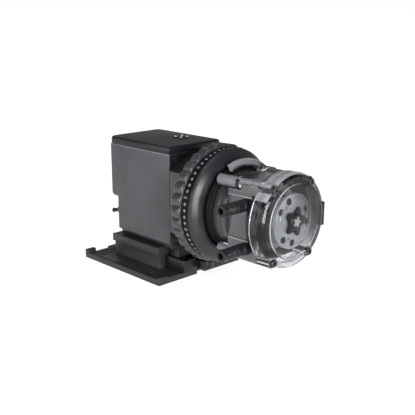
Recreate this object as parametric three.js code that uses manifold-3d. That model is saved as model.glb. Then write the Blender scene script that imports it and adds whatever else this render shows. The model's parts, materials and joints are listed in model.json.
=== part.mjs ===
// Single-head peristaltic metering pump with an adjustable feed-rate dial, on a slide-on bracket.
// Millimetres, +Z up. The pump head faces -Y. The origin is the centre of the bracket's underside.

import * as THREE from "three";
import { mergeVertices } from "three/addons/utils/BufferGeometryUtils.js";
import Module from "manifold-3d";

const wasm = await Module();
wasm.setup();

// ---- driving dimensions ----

const GAP = 0.3; // between pieces that touch
const AXIS_Z = 89.4; // height of the pump's main axis

const BASE = { halfX: 63.3, halfY: 69.2, thick: 6.8, holeR: 3.5, holeX: 52.5, holeY: 45 };
const EAR = { rearInnerX: 51.5, frontInnerX: 50, rearY: 63.8, frontY: -65, rearZ: 10.4, frontZ: 8.8 };
const NOTCH = { halfX: 6, backY: -62.2 };
const RAIL = { wallX: 30, neckX: 38.4, outerX: 41.7, lipX: 24.8, frontY: -42, rearY: 41.5, topZ: 32.2 };
const FOOT = { flangeX: 29.3, flangeTop: 21.3, webX: 24.1, capX: 33, frontY: -73, rearY: 35.7 };
const LOCK = { slotX: 11, slotBackY: -48, pivotY: -54, pivotZ: 14.3, padY: -77, padR: 9, boreR: 2.1 };
const CATCH = { x: [7, 10.2], y: [-66.4, -63], bottomZ: 5.6 }; // teeth of the lock tab, one each side
const POCKET = { x: [6.6, 10.6], y: [-67.5, -62.6], floorZ: 5.2 }; // where the teeth drop into the bracket

const BOX = { halfX: 38.7, frontY: -60.6, rearY: 47.2, lowRearY: 36.2, bottomZ: 40.2, topZ: 141.6 };
const WALL = 2.6;
const STEP_Z = 80; // below this the box is shallower at the rear
const ROOF_TOP = 150.4;
const ROOF = { bevel: 3, inset: 0.2, cornerR: 5 };
const ROOF_PLATE = { x: 12.7, y: -24.3, half: 6.8, screwAt: 4.8, screwR: 1.6 };
const SWITCH = { x: -29, y: 39.5, z: 60, tilt: 14, holeR: 4.4 }; // lever pivot; tilt is degrees below level
const GLAND = { x: 22, z: 58, holeR: 5.3 };
const ROTOR = { bore: 3.3, shaftR: 3, rearY: 29.5, frontY: -70.4, coreR: 12.9 };

const CORE = { halfX: 31, bottomZ: 54, topZ: 120, frontY: -20, rearY: 4, boreR: 13.3 };
const STUD = { x: 25, r: 2.3, clearR: 2.6, rearY: 14.5, frontY: -57.3 };
const BRIDGE = { halfX: 29, bottomZ: 83, topZ: 96, hubR: 9 };

const CASE = { r: 52, wall: 3, rearY: -60.9, frontY: -88 };
const MODULE_MM = 1.1; // gear tooth module
const TEETH = { pinion: 10, wheel: 30, output: 40 };
const GEAR_WIDTH = 4;
const GEAR_REAR = { pinion: -66, first: -66, second: -71, output: -76 }; // rear face of each gear
const GEAR_POST_R = 2;
const GEAR_BORE_R = 2.3;
const GEAR_B = { x: 0, z: AXIS_Z + 27.5 };
const GEAR_A = { x: Math.sqrt(22 ** 2 - 13.75 ** 2), z: AXIS_Z + 13.75 };

const DIAL = { gripR: 65.6, lobes: 30, rearY: -91.7, gripFrontY: -104.2, bandR: 61, rimR: 62.6 };
const DIAL_BORE = 47;
const CAVITY_R = 57; // hollow inside the dial
const FRAME = { r: 46.6, inner: 43.8, rearY: -91.6, frontY: -130.6, noseR: 41.6 };
const DRUM = { r: 41, rearY: -130.9, frontY: -147.4 };

const HEAD = { halfX: 36.5, bottomZ: 48.5, topZ: 130, rearY: -147.7, frontY: -187, roundR: 40.5 };
const RELIEF = { x: 25, z: 31, frontY: -166 }; // upper left corner cut back round its column
const COLLAR = { r: 7, rearY: -158, frontY: -162 };
const FLANGE = { r: 46.6, rearY: -181, bottomZ: 50 };
// Columns with screws: outer ones on the port side, shorter inner ones on the other side.
const COLUMN = { x: 30.4, innerX: 23.9, z: 36.5, r: 6, rearY: -131.3, innerRearY: -147.7, boreR: 2.4 };
const COVER = { r: 49.2, rearY: -187.3, frontY: -205, ridgeR: 37.4, ridgeY: -206.5 };
const LOOP = { r: 32, y: -174, tubeR: 4.5, boreR: 2.6, topOffset: 18.2, lowOffset: -26.6 };
const PORT = { nutX: [-36.8, -54.5], connectorX: [-54.8, -73.5], nutR: 6.4, connectorR: 6.1, boreR: 3.4 };
const SHAFT_R = 5;
const BUSHING_R = 9;
const CARRIER = { r: 28.5, rear: [-158.5, -162.3], front: [-197.6, -201.4], pinR: 2.1, pinClearR: 2.5 };
const CARRIER_HUB = { r: 9.6, wellR: 7.8, rearY: -189.7, floorY: -193.5 }; // dished middle that takes the nut
const BOLT = { shankR: 2, depth: 3.1, headR: 3.9, underHeadY: -202.9, seatR: 4.3 };
const LIP = { inner: 46.2, outer: 53.7, start: 0.26 * Math.PI, end: 0.63 * Math.PI, ridge: 2 };
const COVER_TAB = { x: [46.8, 50.6], y: [-197, -203], z: [75.6, 100.7] };
const ROLLER = { orbit: 18.7, r: 8.5, backY: -163, frontY: -197 };

// ---- materials ----

const finish = (color, roughness, metalness = 0) => ({ color, roughness, metalness });
const CHARCOAL = finish(0x55565a, 0.55);
const BLACK = finish(0x26262a, 0.5);
const BRACKET_GREY = finish(0x48494d, 0.6);
const STEEL = finish(0xb9bcc0, 0.3, 1);
const COPPER = finish(0xa85c32, 0.4, 0.6);
const BRONZE = finish(0xa8834c, 0.45, 0.9);
const NYLON = finish(0xd9d6cc, 0.5);
const SMOKE = finish(0x9a9ca2, 0.2);
const CLEAR = finish(0xdfe4e8, 0.08);
const ELASTOMER = finish(0xe3dcc8, 0.6);

// ---- helpers ----

// A closed triangle mesh as a solid: shared corners merged and empty triangles left out.
function solid(geometry) {
  const bare = geometry.clone();
  bare.deleteAttribute("normal");
  bare.deleteAttribute("uv");
  const merged = mergeVertices(bare, 1e-4);
  const index = merged.index.array;
  const triVerts = [];
  for (let i = 0; i < index.length; i += 3) {
    const [a, b, c] = [index[i], index[i + 1], index[i + 2]];
    if (a !== b && b !== c && c !== a) triVerts.push(a, b, c);
  }
  const mesh = new wasm.Mesh({
    numProp: 3,
    vertProperties: new Float32Array(merged.attributes.position.array),
    triVerts: new Uint32Array(triVerts),
  });
  return new wasm.Manifold(mesh);
}

const join = (first, ...rest) => rest.reduce((sum, piece) => sum.add(piece), first);
const cut = (body, ...tools) => tools.reduce((left, tool) => left.subtract(tool), body);

// Box between two corners.
function block(x0, x1, y0, y1, z0, z1) {
  const geometry = new THREE.BoxGeometry(Math.abs(x1 - x0), Math.abs(y1 - y0), Math.abs(z1 - z0));
  return solid(geometry.translate((x0 + x1) / 2, (y0 + y1) / 2, (z0 + z1) / 2));
}

// Flat outline drawn in X and Y, pushed along Z.
function alongZ(shape, z0, z1, options = {}) {
  const settings = { depth: z1 - z0, bevelEnabled: false, curveSegments: 5, ...options };
  return solid(new THREE.ExtrudeGeometry(shape, settings).translate(0, 0, z0));
}

// Flat outline drawn in X and Z, pushed from rearY forward to frontY.
function alongY(shape, rearY, frontY, curveSegments = 12) {
  const depth = rearY - frontY;
  const geometry = new THREE.ExtrudeGeometry(shape, { depth, bevelEnabled: false, curveSegments });
  return solid(geometry.rotateX(Math.PI / 2).translate(0, rearY, 0));
}

// Flat outline drawn in Y and Z, pushed along X.
function alongX(shape, x0, x1, curveSegments = 5) {
  const geometry = new THREE.ExtrudeGeometry(shape, { depth: x1 - x0, bevelEnabled: false, curveSegments });
  const basis = new THREE.Matrix4().makeBasis(
    new THREE.Vector3(0, 1, 0),
    new THREE.Vector3(0, 0, 1),
    new THREE.Vector3(1, 0, 0),
  );
  return solid(geometry.applyMatrix4(basis).translate(x0, 0, 0));
}

const outline = (points) => new THREE.Shape(points.map(([a, b]) => new THREE.Vector2(a, b)));

// Circle as a regular outline with the given number of sides.
function circle(x, y, r, sides = 16) {
  const points = [];
  for (let i = 0; i < sides; i++) {
    const angle = (2 * Math.PI * i) / sides;
    points.push([x + r * Math.cos(angle), y + r * Math.sin(angle)]);
  }
  return outline(points);
}

// Solid of revolution about the Y direction through (x, z), from [radius, y] points.
function turned(points, segments = 32, x = 0, z = AXIS_Z) {
  const closed = [...points, points[0]];
  let area = 0;
  for (let i = 0; i < points.length; i++) {
    area += closed[i][0] * closed[i + 1][1] - closed[i + 1][0] * closed[i][1];
  }
  const ordered = area > 0 ? closed : closed.reverse();
  const profile = ordered.map(([r, y]) => new THREE.Vector2(r, y));
  return solid(new THREE.LatheGeometry(profile, segments).translate(x, 0, z));
}

// Round bar or ring about the Y direction through (x, z).
function ring(outerR, innerR, rearY, frontY, segments = 24, x = 0, z = AXIS_Z) {
  return turned([[innerR, rearY], [outerR, rearY], [outerR, frontY], [innerR, frontY]], segments, x, z);
}

const rod = (r, rearY, frontY, segments = 16, x = 0, z = AXIS_Z) => ring(r, 0, rearY, frontY, segments, x, z);

// The same profile turned about the X direction through (y, z): points are [radius, x].
function turnedX(points, segments, y, z) {
  const turnedBody = turned(points, segments, 0, 0);
  return turnedBody.rotate([0, 0, -90]).translate([0, y, z]);
}

const group = new THREE.Group();

function part(name, body, look) {
  const mesh = body.getMesh();
  const geometry = new THREE.BufferGeometry();
  geometry.setAttribute("position", new THREE.BufferAttribute(new Float32Array(mesh.vertProperties), 3));
  geometry.setIndex(new THREE.BufferAttribute(new Uint32Array(mesh.triVerts), 1));
  geometry.computeVertexNormals();
  const node = new THREE.Mesh(geometry, new THREE.MeshStandardMaterial(look));
  node.name = name;
  group.add(node);
}

// ---- bracket ----

function mountingBracket() {
  const { halfX, halfY, thick } = BASE;
  let body = block(-halfX, halfX, -halfY, halfY, 0, thick);
  for (const side of [-1, 1]) {
    const rail = outline([
      [RAIL.wallX, thick - 1],
      [RAIL.neckX, thick - 1],
      [RAIL.neckX, 22.4],
      [RAIL.outerX, 23.6],
      [RAIL.outerX, RAIL.topZ],
      [RAIL.lipX, RAIL.topZ],
      [RAIL.lipX, 22],
      [RAIL.wallX, 22],
    ].map(([x, z]) => [side * x, z]));
    const rearEar = block(side * EAR.rearInnerX, side * halfX, EAR.rearY, halfY, thick - 1, EAR.rearZ);
    const frontEar = block(side * EAR.frontInnerX, side * halfX, EAR.frontY, -halfY, thick - 1, EAR.frontZ);
    body = join(body, alongY(rail, RAIL.rearY, RAIL.frontY), rearEar, frontEar);
    body = cut(body, block(side * 30, side * EAR.rearInnerX, EAR.rearY, halfY + 1, -1, thick + 1));
    for (const end of [-1, 1]) {
      const hole = circle(side * BASE.holeX, end * BASE.holeY, BASE.holeR);
      body = cut(body, alongZ(hole, -1, thick + 1));
    }
  }
  const stop = block(-RAIL.wallX - 1, RAIL.wallX + 1, FOOT.rearY + 0.5, RAIL.rearY, thick - 1, RAIL.topZ);
  const notch = block(-NOTCH.halfX, NOTCH.halfX, -halfY - 1, NOTCH.backY, -1, thick + 1);
  const pockets = [-1, 1].map((side) =>
    block(side * POCKET.x[0], side * POCKET.x[1], ...POCKET.y, POCKET.floorZ, thick + 1));
  return cut(join(body, stop), notch, ...pockets);
}

function slideFoot() {
  const { flangeX, flangeTop, webX, capX, frontY, rearY } = FOOT;
  const flange = block(-flangeX, flangeX, frontY, rearY, BASE.thick + 0.5, flangeTop);
  const web = block(-webX, webX, -58, rearY, flangeTop - 1, RAIL.topZ + 0.5);
  const cap = block(-capX, capX, -58, BOX.lowRearY - 2, RAIL.topZ + 0.4, BOX.bottomZ - GAP);
  const slot = block(-LOCK.slotX, LOCK.slotX, frontY - 1, LOCK.slotBackY, 0, flangeTop - 2.5);
  const openFront = block(-LOCK.slotX, LOCK.slotX, frontY - 1, -58.5, 0, flangeTop + 1);
  const pinBore = alongX(circle(LOCK.pivotY, LOCK.pivotZ, LOCK.boreR, 12), -17, 17);
  return cut(join(flange, web, cap), slot, openFront, pinBore);
}

// Sprung arm with a round thumb pad at its end and a tooth on each side.
function lockTab() {
  const { padR, padY, pivotY, pivotZ, boreR } = LOCK;
  const arm = outline([[-50.4, 12], [-50.4, 16.2], [-54, 17.8], [-71, 17], [-71, 10.5], [-54, 10.2]]);
  const pad = turned([
    [0, 8.3], [padR - 1.2, 8.3], [padR, 9.6], [padR, 17.5], [padR - 2, 19.6], [0, 20.2],
  ], 24, 0, 0).rotate([90, 0, 0]).translate([0, padY, 0]);
  const crossbar = block(-CATCH.x[1], CATCH.x[1], CATCH.y[0] - 0.6, CATCH.y[1] + 0.2, 10.5, 15.5);
  const teeth = [-1, 1].map((side) =>
    block(side * CATCH.x[0], side * CATCH.x[1], ...CATCH.y, CATCH.bottomZ, 12));
  const bore = alongX(circle(pivotY, pivotZ, boreR, 12), -12, 12);
  return cut(join(alongX(arm, -8, 8), pad, crossbar, ...teeth), bore);
}

// ---- motor housing and what is on it ----

// Rounded-corner plan: square at the front, rounded at the rear.
function boxPlan(halfX, frontY, rearY, r) {
  const shape = new THREE.Shape();
  shape.moveTo(-halfX, frontY);
  shape.lineTo(halfX, frontY);
  shape.lineTo(halfX, rearY - r);
  shape.absarc(halfX - r, rearY - r, r, 0, Math.PI / 2, false);
  shape.absarc(-halfX + r, rearY - r, r, Math.PI / 2, Math.PI, false);
  shape.closePath();
  return shape;
}

// The box stepped in at its lower rear; inset shrinks it on every face.
function steppedBox(inset, topZ) {
  const halfX = BOX.halfX - inset;
  const frontY = BOX.frontY + inset;
  const rearY = BOX.rearY - inset;
  const lowRearY = BOX.lowRearY - inset;
  const bottomZ = BOX.bottomZ + inset;
  const stepZ = STEP_Z + inset;
  const r = Math.max(6 - inset, 2);
  const upper = alongZ(boxPlan(halfX, frontY, rearY, r), bottomZ, topZ);
  const lower = alongZ(boxPlan(halfX, frontY, lowRearY, r), bottomZ, topZ);
  const side = new THREE.Shape();
  side.moveTo(frontY - 1, topZ + 1);
  side.lineTo(frontY - 1, bottomZ - 1);
  side.lineTo(lowRearY - 20, bottomZ - 1);
  side.lineTo(lowRearY - 20, stepZ);
  side.lineTo(lowRearY + 1, stepZ);
  side.quadraticCurveTo(rearY - 1, stepZ, rearY + 1, stepZ + 8);
  side.lineTo(rearY + 1, topZ + 1);
  return upper.intersect(join(alongX(side, -halfX - 1, halfX + 1), lower));
}

function motorHousing() {
  const frontHole = rod(14, BOX.frontY + WALL + 1, BOX.frontY - 1, 24);
  const switchHole = rod(SWITCH.holeR, 43, 28, 16, SWITCH.x, SWITCH.z);
  const cordHole = rod(GLAND.holeR, 43, 28, 16, GLAND.x, GLAND.z);
  return cut(steppedBox(0, BOX.topZ), steppedBox(WALL, BOX.topZ + 5), frontHole, switchHole, cordHole);
}

// Deep lid with a rounded upper edge and a square lower one.
function roofCover() {
  const { bevel, cornerR } = ROOF;
  const inset = ROOF.inset + bevel;
  const plan = boxPlan(BOX.halfX - inset, BOX.frontY + inset, BOX.rearY - inset, cornerR);
  const options = { bevelEnabled: true, bevelThickness: bevel, bevelSize: bevel, bevelSegments: 3 };
  const z0 = BOX.topZ + GAP;
  const below = block(-60, 60, -80, 80, z0 - 20, z0);
  return cut(alongZ(plan, z0 - 2, ROOF_TOP - bevel, options), below);
}

function roofPlate() {
  const { x, y, half, screwAt, screwR } = ROOF_PLATE;
  let body = block(x - half, x + half, y - half, y + half, ROOF_TOP + GAP, ROOF_TOP + 1.4);
  for (const dx of [-screwAt, screwAt]) {
    for (const dy of [-screwAt, screwAt]) {
      body = body.add(alongZ(circle(x + dx, y + dy, screwR), ROOF_TOP + 1, ROOF_TOP + 2.4));
    }
  }
  return body;
}

function switchBushing() {
  return turned([
    [2.6, 30.4], [4, 30.4], [4, 36.5], [6.4, 36.5], [6.4, 39.5], [4, 39.5], [4, 43], [3.5, 43],
  ], 12, SWITCH.x, SWITCH.z);
}

function toggleLever() {
  const lever = turned([
    [0, -5], [1.5, -5], [1.9, 0], [1.6, 4], [2.4, 12], [2.9, 15], [2.1, 16.8], [0, 17],
  ], 12, 0, 0);
  return lever.rotate([-SWITCH.tilt, 0, 0]).translate([SWITCH.x, SWITCH.y, SWITCH.z]);
}

function cordGland() {
  return turned([
    [3.3, 30.5], [5, 30.5], [5, 36.5], [8, 36.5], [8, 39.5], [6.2, 40.5], [5.6, 49.5], [3.3, 49.5],
  ], 12, GLAND.x, GLAND.z);
}

// ---- motor ----

function statorCore() {
  const { halfX, bottomZ, topZ, frontY, rearY, boreR } = CORE;
  const shape = outline([[-halfX, bottomZ], [halfX, bottomZ], [halfX, topZ], [-halfX, topZ]]);
  shape.holes.push(circle(0, AXIS_Z, boreR, 32));
  shape.holes.push(circle(-STUD.x, AXIS_Z, STUD.clearR), circle(STUD.x, AXIS_Z, STUD.clearR));
  shape.holes.push(outline([[-19, 64], [19, 64], [19, 73], [-19, 73]]));
  return alongY(shape, rearY, frontY, 8);
}

function statorCoil() {
  const [inFront, behind] = [CORE.frontY - GAP, CORE.rearY + GAP];
  const shape = outline([[-29, 45.3], [13, 45.3], [13, 72.7], [-29, 72.7]]);
  shape.holes.push(outline([[inFront, 53.7], [behind, 53.7], [behind, 64.3], [inFront, 64.3]]));
  return alongX(shape, -18.6, 18.6);
}

function bearingBridge(rearY, frontY) {
  const { halfX, bottomZ, topZ, hubR } = BRIDGE;
  const bar = outline([[-halfX, bottomZ], [halfX, bottomZ], [halfX, topZ], [-halfX, topZ]]);
  const hub = rod(hubR, rearY + 1.5, frontY - 1.5, 16);
  const shaftBore = rod(ROTOR.shaftR + 0.4, rearY + 3, frontY - 3, 12);
  const studBores = [-STUD.x, STUD.x].map((x) => rod(STUD.clearR, rearY + 3, frontY - 3, 10, x));
  return cut(join(alongY(bar, rearY, frontY), hub), shaftBore, ...studBores);
}

function coolingFan() {
  let body = ring(9, ROTOR.bore, 24, 14.5, 20);
  const blades = 7;
  for (let i = 0; i < blades; i++) {
    const blade = outline([[-2.6, 8], [2.6, 8], [7, 25.4], [-4.5, 25.4]]);
    const flat = alongY(blade, 1, -1).rotate([0, 24, 0]).translate([0, 19, 0]);
    body = body.add(flat.rotate([0, (360 / blades) * i, 0]).translate([0, 0, AXIS_Z]));
  }
  return cut(body, rod(ROTOR.bore, 30, 10));
}

// ---- gear train ----

// Gear outline with one tooth pointing at the angle phase.
function gearShape(teeth, phase, x, z, boreR) {
  const pitch = (2 * Math.PI) / teeth;
  const pitchR = (MODULE_MM * teeth) / 2;
  const rootR = pitchR - 1.25 * MODULE_MM;
  const tipR = pitchR + 0.9 * MODULE_MM;
  const points = [];
  for (let i = 0; i < teeth; i++) {
    const mid = phase + i * pitch;
    for (const [r, turn] of [[rootR, -0.29], [tipR, -0.12], [tipR, 0.12], [rootR, 0.29]]) {
      points.push([x + r * Math.cos(mid + turn * pitch), z + r * Math.sin(mid + turn * pitch)]);
    }
  }
  const shape = outline(points);
  shape.holes.push(circle(x, z, boreR, 10));
  return shape;
}

const heading = (from, to) => Math.atan2(to.z - from.z, to.x - from.x);
const meshed = (direction, teeth) => direction + Math.PI + Math.PI / teeth;

// Gear of one width, turned so that a tooth points at the angle phase.
const gear = (teeth, phase, at, boreR, rearY) =>
  alongY(gearShape(teeth, phase, at.x, at.z, boreR), rearY, rearY - GEAR_WIDTH);

// Large wheel with a small pinion in front of it, on one post.
function gearPair(at, wheelPhase, pinionPhase, rearY) {
  const pinionShape = gearShape(TEETH.pinion, pinionPhase, at.x, at.z, GEAR_BORE_R);
  const pinionRear = rearY - GEAR_WIDTH + 0.1;
  const pinion = alongY(pinionShape, pinionRear, rearY - 2 * GEAR_WIDTH - 1);
  return join(gear(TEETH.wheel, wheelPhase, at, GEAR_BORE_R, rearY), pinion);
}

function addGears() {
  const axis = { x: 0, z: AXIS_Z };
  const toA = heading(axis, GEAR_A);
  const aToB = heading(GEAR_A, GEAR_B);
  const bToAxis = heading(GEAR_B, axis);
  const outputPhase = meshed(bToAxis, TEETH.output);
  part("motor_pinion", gear(TEETH.pinion, toA, axis, ROTOR.bore, GEAR_REAR.pinion), STEEL);
  part("first_gear", gearPair(GEAR_A, meshed(toA, TEETH.wheel), aToB, GEAR_REAR.first), NYLON);
  part("second_gear", gearPair(GEAR_B, meshed(aToB, TEETH.wheel), bToAxis, GEAR_REAR.second), NYLON);
  part("output_gear", gear(TEETH.output, outputPhase, axis, SHAFT_R + GAP, GEAR_REAR.output), STEEL);
  part("gear_post_a", rod(GEAR_POST_R, -61.2, -75.6, 12, GEAR_A.x, GEAR_A.z), STEEL);
  part("gear_post_b", rod(GEAR_POST_R, -61.2, -84.7, 12, GEAR_B.x, GEAR_B.z), STEEL);
}

// ---- gear case and feed-rate control ----

// Disc whose two sides are cut flat to sit flush with the motor housing.
function flattedDisc(r, halfX, rearY, frontY, segments = 40) {
  return rod(r, rearY, frontY, segments).intersect(block(-halfX, halfX, rearY + 1, frontY - 1, 0, 200));
}

function gearCase() {
  const { r, wall, rearY, frontY } = CASE;
  const outer = flattedDisc(r, BOX.halfX, rearY, frontY);
  const hollow = flattedDisc(r - wall, BOX.halfX - wall, rearY + 1, frontY + wall, 36);
  return cut(outer, hollow, rod(BUSHING_R + GAP, rearY, frontY - 1, 24));
}

function gearCasePlate() {
  const inset = CASE.wall + 0.4;
  const plate = flattedDisc(CASE.r - inset, BOX.halfX - inset, CASE.rearY - GAP, -64.2, 28);
  const posts = [GEAR_A, GEAR_B].map(({ x, z }) => rod(GEAR_BORE_R, -60, -66, 12, x, z));
  return cut(plate, rod(4, -60, -66), ...posts);
}

function dialRing() {
  const { gripR, lobes, rearY, gripFrontY, bandR, rimR } = DIAL;
  const points = [];
  const perLobe = 4;
  for (let i = 0; i < lobes * perLobe; i++) {
    const angle = (2 * Math.PI * i) / (lobes * perLobe);
    const r = gripR - 3 * (1 - Math.abs(Math.sin((angle * lobes) / 2)) ** 0.7);
    points.push([r * Math.cos(angle), AXIS_Z + r * Math.sin(angle)]);
  }
  const grip = cut(alongY(outline(points), rearY, gripFrontY), rod(CAVITY_R, rearY + 1, gripFrontY - 1, 40));
  const face = turned([
    [CAVITY_R, gripFrontY + 1], [bandR, gripFrontY + 1], [bandR, -114.8], [rimR, -116.2],
    [59.5, -119.4], [54.5, -122.6], [49.8, -124], [DIAL_BORE, -123.2], [DIAL_BORE, -112], [CAVITY_R, -112],
  ], 40);
  return join(grip, face);
}

function variableCam() {
  const points = [];
  const steps = 36;
  for (let i = 0; i < steps; i++) {
    const angle = (2 * Math.PI * i) / steps;
    const r = 50 + 2.2 * Math.cos(angle) + 0.6 * Math.cos(3 * angle);
    points.push([r * Math.cos(angle), AXIS_Z + r * Math.sin(angle)]);
  }
  return cut(ring(CAVITY_R - 0.6, 40, -104.4, -111.6, 36), alongY(outline(points), -100, -115));
}

function outerFrame() {
  const { r, inner, rearY, frontY, noseR } = FRAME;
  const bore = SHAFT_R + GAP;
  return turned([
    [inner, rearY], [r, rearY], [r, -119], [r - 2, -124.5], [r - 2.2, -127.4], [noseR, -128.2],
    [noseR, frontY], [bore, frontY], [bore, frontY + 6], [12, frontY + 6], [14, frontY + 3.4],
    [38, frontY + 3.4], [inner, frontY + 9],
  ], 28);
}

function pinHolder() {
  let body = ring(36, SHAFT_R + GAP, -95, -99.5, 32);
  for (const side of [-1, 1]) body = body.add(rod(2.2, -99, -103.4, 10, side * 30));
  return body;
}

function indexPlate() {
  let body = ring(41, SHAFT_R + GAP, -103.8, -107, 32);
  const holes = 4;
  for (let i = 0; i < holes; i++) {
    const angle = (2 * Math.PI * i) / holes;
    const [x, z] = [30 * Math.cos(angle), AXIS_Z + 30 * Math.sin(angle)];
    body = body.subtract(rod(2.8, -100, -110, 6, x, z));
  }
  return join(body, ring(10, SHAFT_R + GAP, -106, -114, 16));
}

function headDrum() {
  const { r, rearY, frontY } = DRUM;
  const [inner, bore] = [r - 3.6, BUSHING_R + GAP];
  return turned([
    [inner, rearY], [r, rearY], [r, frontY], [bore, frontY], [bore, frontY + 3], [inner, frontY + 3],
  ], 28);
}

// ---- pump head ----

const corners = [-1, 1].flatMap((side) => [-1, 1].map((level) => ({
  x: side < 0 ? -COLUMN.x : COLUMN.innerX,
  z: AXIS_Z + level * COLUMN.z,
  rearY: side < 0 ? COLUMN.rearY : COLUMN.innerRearY,
})));

// Square block with rounded corners, its right side following the head's round form.
function housingBlock() {
  const { halfX, bottomZ, topZ, rearY, frontY, roundR } = HEAD;
  const shape = new THREE.Shape();
  const r = 4;
  shape.moveTo(-halfX + r, bottomZ);
  shape.absarc(halfX - r, bottomZ + r, r, -Math.PI / 2, 0, false);
  shape.absarc(halfX - r, topZ - r, r, 0, Math.PI / 2, false);
  shape.absarc(-halfX + r, topZ - r, r, Math.PI / 2, Math.PI, false);
  shape.absarc(-halfX + r, bottomZ + r, r, Math.PI, 1.5 * Math.PI, false);
  const rightSide = block(0, 60, rearY, frontY - 1, 0, 200);
  return join(alongY(shape, rearY, frontY, 4), rod(roundR, rearY - 7, frontY, 32).intersect(rightSide));
}

// Curved double-ridged lip that stands over the drum, carried by a post on the upper right corner.
function archedLip() {
  const { inner, outer, start, end, ridge } = LIP;
  const sector = (r0, r1) => {
    const shape = new THREE.Shape();
    shape.absarc(0, AXIS_Z, r1, start, end, false);
    shape.absarc(0, AXIS_Z, r0, end, start, true);
    shape.closePath();
    return shape;
  };
  const plate = alongY(sector(inner, outer), COLUMN.rearY, COLUMN.rearY - 2.4, 12);
  const ridges = [[inner, inner + ridge], [outer - ridge, outer]].map(([r0, r1]) =>
    alongY(sector(r0, r1), COLUMN.rearY - 2, COLUMN.rearY - 4.6, 12));
  return join(plate, ...ridges);
}

// Round passage or boss of one port, from the chamber outward along -X.
const portRod = (offset, r, x0, x1, sides) =>
  turnedX([[0, x0], [r, x0], [r, x1], [0, x1]], sides, LOOP.y, AXIS_Z + offset);

function tubeHousing() {
  const { halfX, rearY, frontY } = HEAD;
  const chamberR = LOOP.r + LOOP.tubeR + 0.6;
  const chamberRear = -156;
  const pocketX = -33.3; // inner face of the wall that the ports pass through
  const cavityFront = frontY - 1;
  const offsets = [LOOP.topOffset, LOOP.lowOffset];
  const relief = block(-50, -RELIEF.x, rearY + 5, RELIEF.frontY, AXIS_Z + RELIEF.z, 150);
  const columns = corners.map((corner) => rod(COLUMN.r, corner.rearY, frontY, 12, corner.x, corner.z));
  const collar = rod(COLLAR.r, COLLAR.rearY, COLLAR.frontY, 16, -COLUMN.x, AXIS_Z + COLUMN.z);
  const post = rod(COLUMN.r, COLUMN.rearY, rearY - 2, 12, COLUMN.x, AXIS_Z + COLUMN.z);
  const flange = rod(FLANGE.r, FLANGE.rearY, frontY, 40)
    .intersect(block(-60, 60, -140, frontY - 1, FLANGE.bottomZ, 200));
  const ribs = [115.3, 70.4].map((z) => block(-halfX - 2.2, -halfX + 1, -150, -183, z - 0.9, z + 0.9));
  const bosses = offsets.map((offset) => portRod(offset, 8.3, -34, -halfX + 0.1, 20));
  const chamber = rod(chamberR, chamberRear, cavityFront, 40)
    .intersect(block(pocketX, 60, chamberRear + 1, cavityFront - 1, 0, 200));
  const entry = block(pocketX, -8, chamberRear, cavityFront, AXIS_Z - 32.4, AXIS_Z + 25);
  const shaftBore = rod(BUSHING_R + GAP, rearY + 8, chamberRear - 4, 24);
  const ports = offsets.map((offset) => portRod(offset, LOOP.tubeR + 0.4, -30, -42, 16));
  const bolts = corners.map((corner) =>
    rod(COLUMN.boreR, corner.rearY - BOLT.depth + 0.1, frontY - 1, 8, corner.x, corner.z));
  const relieved = cut(housingBlock(), relief);
  const body = join(relieved, ...columns, collar, post, flange, ...ribs, ...bosses, archedLip());
  return cut(body, chamber, entry, shaftBore, ...ports, ...bolts);
}

// Elastic tube: in at the upper port, round the chamber and out at the lower port.
function pumpTube() {
  const points = [];
  const at = (x, offset) => points.push(new THREE.Vector3(x, LOOP.y, AXIS_Z + offset));
  at(-50, LOOP.topOffset);
  at(-42, LOOP.topOffset);
  at(-33.5, LOOP.topOffset);
  for (let degrees = 138; degrees >= -107; degrees -= 10) {
    const angle = (degrees * Math.PI) / 180;
    at(LOOP.r * Math.cos(angle), LOOP.r * Math.sin(angle));
  }
  at(-18, -27.6);
  at(-25, -26.8);
  at(-33.5, LOOP.lowOffset);
  at(-42, LOOP.lowOffset);
  at(-50, LOOP.lowOffset);
  const extrudePath = new THREE.CatmullRomCurve3(points, false, "centripetal");
  const [outer, inner] = [[], []];
  const sides = 8;
  for (let i = 0; i < sides; i++) {
    const angle = (2 * Math.PI * i) / sides;
    const [c, s] = [Math.cos(angle), Math.sin(angle)];
    outer.push([LOOP.tubeR * c, LOOP.tubeR * s]);
    inner.push([LOOP.boreR * c, LOOP.boreR * s]);
  }
  const section = outline(outer);
  section.holes.push(outline(inner));
  return solid(new THREE.ExtrudeGeometry(section, { steps: 32, bevelEnabled: false, extrudePath }));
}

// Compression nut, ferrule and connector of one tube end.
function addFitting(name, offset) {
  const z = AXIS_Z + offset;
  const { nutR, connectorR, boreR } = PORT;
  const [nutIn, nutOut] = PORT.nutX;
  const [endIn, endOut] = PORT.connectorX;
  const tubeBore = LOOP.tubeR + 0.5;
  const nut = turnedX([
    [tubeBore, nutIn], [nutR, nutIn], [nutR, nutOut + 1], [nutR - 0.8, nutOut], [tubeBore, nutOut],
  ], 16, LOOP.y, z);
  const connector = turnedX([
    [boreR, endIn], [connectorR, endIn], [connectorR, endOut + 1], [connectorR - 0.6, endOut],
    [boreR, endOut],
  ], 14, LOOP.y, z);
  const ferrule = turnedX([[boreR, -50.4], [4.6, -50.4], [4.6, -54.2], [boreR, -54.2]], 12, LOOP.y, z);
  part(name + "_nut", nut, BLACK);
  part(name + "_connector", connector, BLACK);
  part(name + "_ferrule", ferrule, NYLON);
}

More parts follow.
